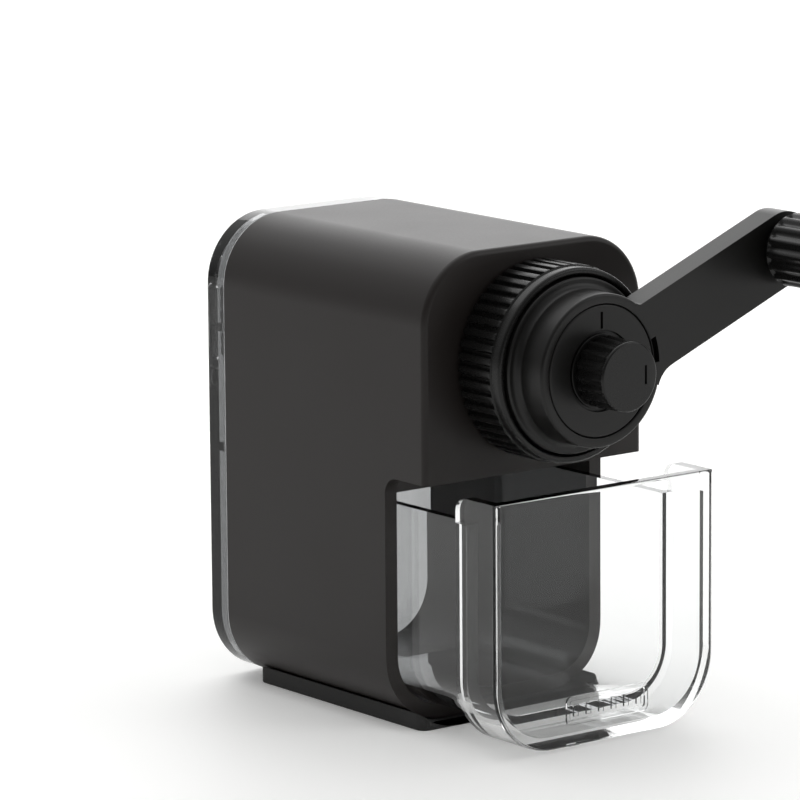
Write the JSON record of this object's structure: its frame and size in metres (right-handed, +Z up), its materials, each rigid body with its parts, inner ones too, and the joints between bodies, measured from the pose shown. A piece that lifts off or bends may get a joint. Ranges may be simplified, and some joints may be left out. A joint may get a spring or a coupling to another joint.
{
  "type": "pencil sharpener",
  "caption": "Hand-cranked desk pencil sharpener: upright black shell, clear pull-out shavings drawer, planetary helical cutter and a spring-fed clear faceplate that grips the pencil.",
  "frame": {"origin": "middle of the foot's underside, on the surface that the sharpener stands on", "axes": "+Z up; -Y towards the crank and the drawer's front; +Y towards the faceplate where the pencil goes in; +X to the right seen from the crank side"},
  "size_m": [0.0701, 0.098, 0.0854],
  "materials": {
    "shell": "matte near-black moulded plastic",
    "crank": "satin black moulded plastic",
    "trim": "satin black moulded plastic, finely ribbed",
    "foot": "matte black rubber",
    "clear": "clear polished plastic",
    "inner": "dark grey moulded plastic",
    "nylon": "off-white gear nylon",
    "tool_steel": "hardened tool steel with ground flutes",
    "steel": "plated steel"
  },
  "bodies": {
    "housing": {"body_shell": "shell", "base_foot": "foot", "gear_frame": "inner", "guide_plate": "inner", "frame_screw_left": "steel", "frame_screw_right": "steel", "guide_screw_left": "steel", "guide_screw_right": "steel", "bearing_sleeve": "inner", "ring_gear": "nylon", "feed_spring_left": "steel", "feed_spring_right": "steel"},
    "drawer": {"drawer": "clear"},
    "lock_ring": {"lock_ring": "trim"},
    "crank": {"crank_arm": "crank", "hub_cap": "crank", "crank_screw_upper": "steel", "crank_screw_lower": "steel", "cutter_carrier": "inner", "cutter_axle": "steel", "handle_pin": "steel"},
    "cutter": {"helical_cutter": "tool_steel", "cutter_pinion": "nylon"},
    "handle": {"handle_grip": "trim", "grip_cap": "trim"},
    "adjuster": {"adjuster_knob": "trim"},
    "depth_stop": {"depth_stop": "steel"},
    "feeder": {"rear_faceplate": "clear", "gripper_housing": "trim", "gripper_cover": "trim", "guide_rod_left": "steel", "guide_rod_right": "steel", "rod_clip_left": "steel", "rod_clip_right": "steel", "tab_spring_left": "steel", "tab_spring_right": "steel"},
    "tab_left": {"pinch_tab_left": "trim"},
    "tab_right": {"pinch_tab_right": "trim"}
  },
  "joints": [
    {"name": "drawer_slide", "type": "slide", "parent": "housing", "child": "drawer", "axis": [0, -1, 0], "range_m": [-0.0186, 0.015]},
    {"name": "crank_spin", "type": "hinge", "parent": "housing", "child": "crank", "pos_m": [0, -0.045, 0.06285], "axis": [0, -1, 0], "range_deg": [-45, 180]},
    {"name": "cutter_spin", "type": "hinge", "parent": "crank", "child": "cutter", "pos_m": [-0.0036, 0.0017, 0.07175], "axis": [0.0715, -0.9816, -0.1769], "continuous": true},
    {"name": "handle_spin", "type": "hinge", "parent": "crank", "child": "handle", "pos_m": [0.04033, -0.056, 0.07914], "axis": [0, -1, 0], "continuous": true},
    {"name": "ring_turn", "type": "hinge", "parent": "housing", "child": "lock_ring", "pos_m": [0, -0.036, 0.06285], "axis": [0, -1, 0], "range_deg": [0, 30]},
    {"name": "adjust_turn", "type": "hinge", "parent": "crank", "child": "adjuster", "pos_m": [0, -0.05, 0.06285], "axis": [0, -1, 0], "range_deg": [0, 120]},
    {"name": "stop_slide", "type": "slide", "parent": "crank", "child": "depth_stop", "axis": [0, -1, 0], "range_m": [0, 0.0015]},
    {"name": "feed_slide", "type": "slide", "parent": "housing", "child": "feeder", "axis": [0, 1, 0], "range_m": [0, 0.016], "stiffness_N_per_m": 60, "springref_m": -0.01, "deforming": ["feed_spring_left", "feed_spring_right"]},
    {"name": "pinch_left", "type": "slide", "parent": "feeder", "child": "tab_left", "axis": [1, 0, 0], "range_m": [0, 0.002], "stiffness_N_per_m": 200, "springref_m": -0.002, "deforming": ["tab_spring_left"]},
    {"name": "pinch_right", "type": "slide", "parent": "feeder", "child": "tab_right", "axis": [-1, 0, 0], "range_m": [0, 0.002], "stiffness_N_per_m": 200, "springref_m": -0.002, "deforming": ["tab_spring_right"]}
  ],
  "couplings": [
    {"joint": "cutter_spin", "follows": "crank_spin", "ratio": -3.4},
    {"joint": "adjust_turn", "follows": "stop_slide", "rad_per_m": 1396}
  ]
}
